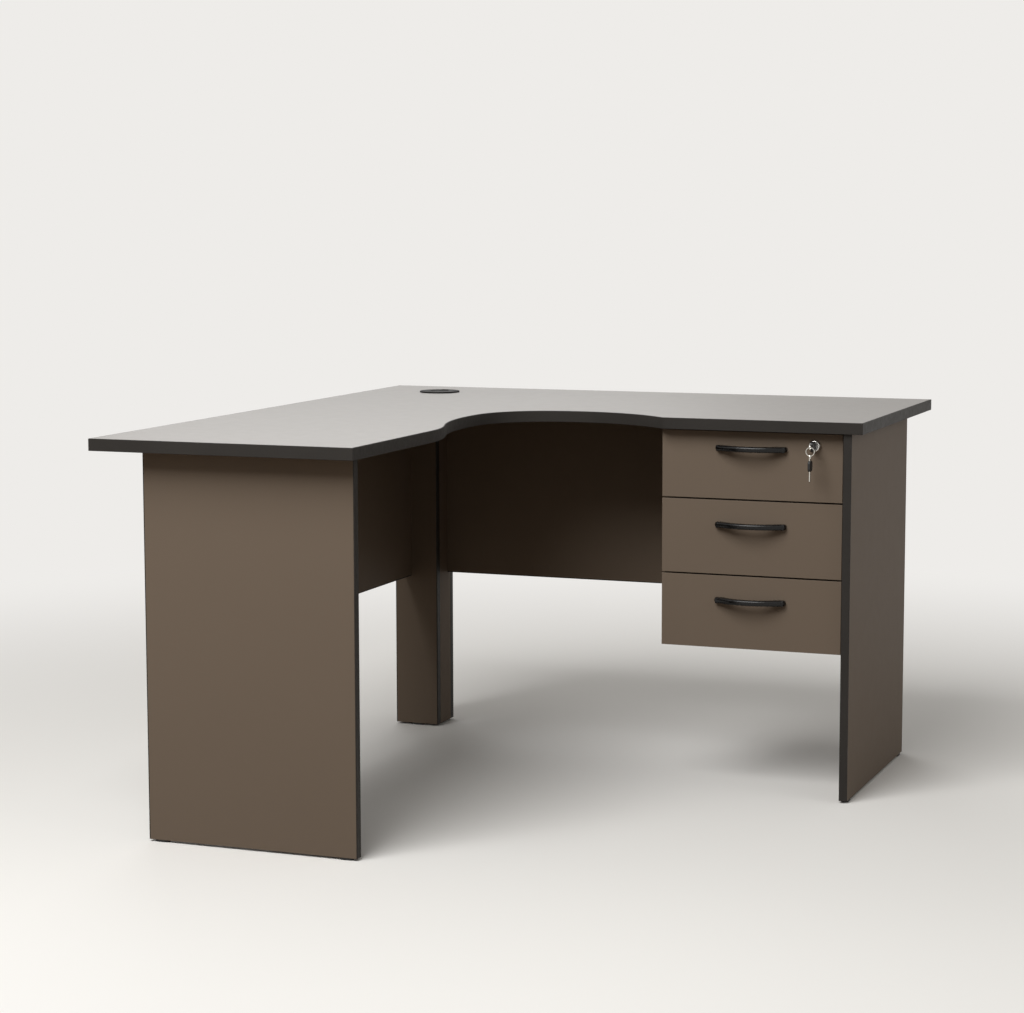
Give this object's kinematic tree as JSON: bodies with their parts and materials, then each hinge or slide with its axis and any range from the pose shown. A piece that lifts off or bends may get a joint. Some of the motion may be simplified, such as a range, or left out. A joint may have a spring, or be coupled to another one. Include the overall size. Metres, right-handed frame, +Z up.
{
  "type": "corner desk",
  "caption": "L-shaped corner desk with a concave front curve, board legs, modesty panels, a cable grommet and a hung pedestal of lockable drawers with bow handles.",
  "frame": {"origin": "floor level under the middle of the desk's footprint box", "axes": "+X along the wall to the right as seen by the user, +Y toward the wall behind the main run, +Z up"},
  "size_m": [1.208, 1.37, 0.731],
  "materials": {
    "desktop_laminate": "satin melamine-faced board, taupe grey",
    "panel_melamine": "satin melamine-faced board, taupe brown",
    "edge_pvc": "charcoal edge band with rounded edges",
    "drawer_wrap": "foil-wrapped grey board",
    "drawer_hardboard": "lacquered hardboard",
    "runner_enamel": "off-white baked enamel on steel",
    "roller_nylon": "natural nylon",
    "handle_black": "satin black",
    "zinc_steel": "zinc-plated steel",
    "lock_chrome": "bright chrome",
    "key_nickel": "nickel-plated",
    "key_plastic": "black moulded plastic",
    "glide_plastic": "black moulded plastic",
    "block_plastic": "brown moulded plastic",
    "grommet_plastic": "black moulded plastic"
  },
  "bodies": {
    "desk": {"cabinet_rollers": "roller_nylon", "cabinet_runners_left": "runner_enamel", "cabinet_runners_right": "runner_enamel", "corner_leg_edge_bands": "edge_pvc", "corner_leg_front_board": "panel_melamine", "corner_leg_rear_board": "panel_melamine", "corner_leg_side_boards": "panel_melamine", "desktop_board": "desktop_laminate", "desktop_edge_band": "edge_pvc", "glides": "glide_plastic", "grommet_sleeve": "grommet_plastic", "joint_blocks": "block_plastic", "lock_strike": "zinc_steel", "main_end_panel": "panel_melamine", "main_end_panel_edge_bands": "edge_pvc", "main_modesty_edge_band": "edge_pvc", "main_modesty_panel": "panel_melamine", "pedestal_back": "panel_melamine", "pedestal_base": "panel_melamine", "pedestal_side": "panel_melamine", "return_end_panel": "panel_melamine", "return_end_panel_edge_bands": "edge_pvc", "return_modesty_edge_band": "edge_pvc", "return_modesty_panel": "panel_melamine"},
    "top_drawer": {"drawer_top_back": "drawer_wrap", "drawer_top_base": "drawer_hardboard", "drawer_top_front": "panel_melamine", "drawer_top_handle": "handle_black", "drawer_top_handle_screws": "zinc_steel", "drawer_top_left_side": "drawer_wrap", "drawer_top_right_side": "drawer_wrap", "drawer_top_rollers": "roller_nylon", "drawer_top_runners": "runner_enamel", "lock_housing": "lock_chrome"},
    "middle_drawer": {"drawer_middle_back": "drawer_wrap", "drawer_middle_base": "drawer_hardboard", "drawer_middle_front": "panel_melamine", "drawer_middle_handle": "handle_black", "drawer_middle_handle_screws": "zinc_steel", "drawer_middle_left_side": "drawer_wrap", "drawer_middle_right_side": "drawer_wrap", "drawer_middle_rollers": "roller_nylon", "drawer_middle_runners": "runner_enamel"},
    "bottom_drawer": {"drawer_bottom_back": "drawer_wrap", "drawer_bottom_base": "drawer_hardboard", "drawer_bottom_front": "panel_melamine", "drawer_bottom_handle": "handle_black", "drawer_bottom_handle_screws": "zinc_steel", "drawer_bottom_left_side": "drawer_wrap", "drawer_bottom_right_side": "drawer_wrap", "drawer_bottom_rollers": "roller_nylon", "drawer_bottom_runners": "runner_enamel"},
    "lock_plug": {"lock_plug": "lock_chrome", "lock_cam": "zinc_steel", "inserted_key": "key_nickel", "inserted_key_head": "key_plastic"},
    "key_ring": {"key_ring": "key_nickel", "spare_key_head": "key_plastic", "spare_key": "key_nickel"},
    "grommet_cap": {"grommet_cap": "grommet_plastic"}
  },
  "joints": [
    {"name": "top_drawer_slide", "type": "slide", "parent": "desk", "child": "top_drawer", "axis": [0, -1, 0], "range_m": [0, 0.3]},
    {"name": "middle_drawer_slide", "type": "slide", "parent": "desk", "child": "middle_drawer", "axis": [0, -1, 0], "range_m": [0, 0.3]},
    {"name": "bottom_drawer_slide", "type": "slide", "parent": "desk", "child": "bottom_drawer", "axis": [0, -1, 0], "range_m": [0, 0.3]},
    {"name": "lock_turn", "type": "hinge", "parent": "top_drawer", "child": "lock_plug", "pos_m": [0.5065, 0.098, 0.6805], "axis": [0, -1, 0], "range_deg": [0, 90]},
    {"name": "key_ring_swing", "type": "hinge", "parent": "lock_plug", "child": "key_ring", "pos_m": [0.5065, 0.0615, 0.6805], "axis": [0, -1, 0], "range_deg": [-45, 0]},
    {"name": "grommet_cap_turn", "type": "hinge", "parent": "desk", "child": "grommet_cap", "pos_m": [-0.441, 0.529, 0.728], "axis": [0, 0, 1], "continuous": true}
  ],
  "couplings": [
    {"joint": "key_ring_swing", "follows": "lock_turn", "ratio": -0.5}
  ]
}
